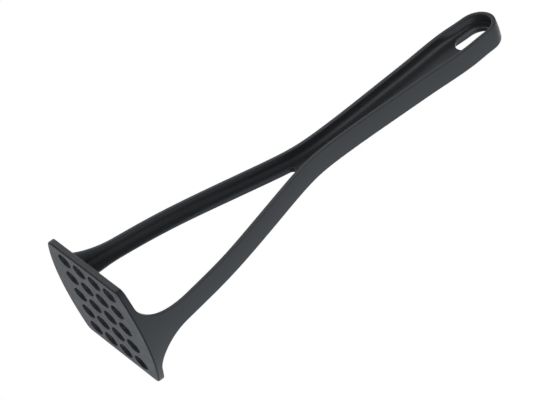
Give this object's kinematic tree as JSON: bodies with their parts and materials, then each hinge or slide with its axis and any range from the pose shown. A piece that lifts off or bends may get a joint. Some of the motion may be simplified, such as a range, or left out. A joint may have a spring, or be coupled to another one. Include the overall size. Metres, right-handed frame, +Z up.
{
  "type": "potato masher",
  "caption": "One-piece nylon hand masher: a perforated plate on two flared legs that join in a ribbed upright handle with a hanging loop.",
  "frame": {"origin": "centre of the flat mashing face, at the bottom of the plate", "axes": "+Z up the handle to the hanging loop, X across the two legs, Y through the depth of the handle"},
  "size_m": [0.0964, 0.0716, 0.302],
  "materials": {
    "nylon": "satin moulded glass-filled nylon, dark charcoal"
  },
  "bodies": {
    "root": {"mash_plate": "nylon", "left_leg": "nylon", "right_leg": "nylon", "handle_grip": "nylon", "hanging_loop": "nylon"}
  },
  "joints": []
}
